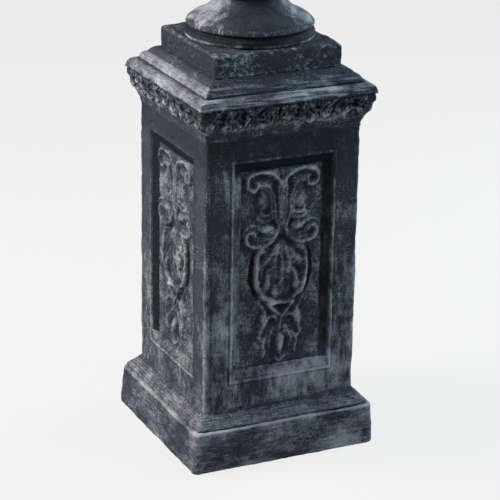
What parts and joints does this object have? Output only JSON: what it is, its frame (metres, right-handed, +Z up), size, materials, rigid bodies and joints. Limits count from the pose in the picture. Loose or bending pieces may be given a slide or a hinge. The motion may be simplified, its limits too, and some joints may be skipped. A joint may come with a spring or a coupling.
{
  "type": "garden pedestal",
  "caption": "Square cast-stone garden pedestal: stepped plinth, hollow die with scroll relief panels, leafed cornice, lift-off cap and a turned foot on a square plate.",
  "frame": {"origin": "centre of the underside, on the ground", "axes": "+Z up, -Y out of the front face, +X to the right of the front"},
  "size_m": [0.4, 0.4, 0.925],
  "materials": {
    "cast_stone": "slate-grey cast stone with a chalky white wash, softly worn",
    "panel_stone": "the same cast stone, darker in the hollows of the relief",
    "mortar": "dark tinted bedding mortar",
    "dowel_steel": "stainless steel bar, cut ends"
  },
  "bodies": {
    "pedestal": {"plinth_block": "cast_stone", "moulding_bed": "mortar", "base_moulding": "cast_stone", "die_bed": "mortar", "die_shell": "cast_stone", "relief_panel_front": "panel_stone", "relief_panel_right": "panel_stone", "relief_panel_back": "panel_stone", "relief_panel_left": "panel_stone", "panel_adhesive": "mortar", "cornice_bed": "mortar", "leaf_cornice": "cast_stone", "plinth_dowels": "dowel_steel", "die_dowels": "dowel_steel", "cornice_dowels": "dowel_steel", "cap_dowels": "dowel_steel"},
    "cap": {"cap": "cast_stone", "foot_dowel": "dowel_steel"},
    "foot": {"square_plate": "cast_stone", "foot_bed": "mortar", "turned_foot": "cast_stone"}
  },
  "joints": [
    {"name": "cap_lift", "type": "slide", "parent": "pedestal", "child": "cap", "axis": [0, 0, 1], "range_m": [0, 0.06]},
    {"name": "foot_lift", "type": "slide", "parent": "cap", "child": "foot", "axis": [0, 0, 1], "range_m": [0, 0.06]}
  ]
}
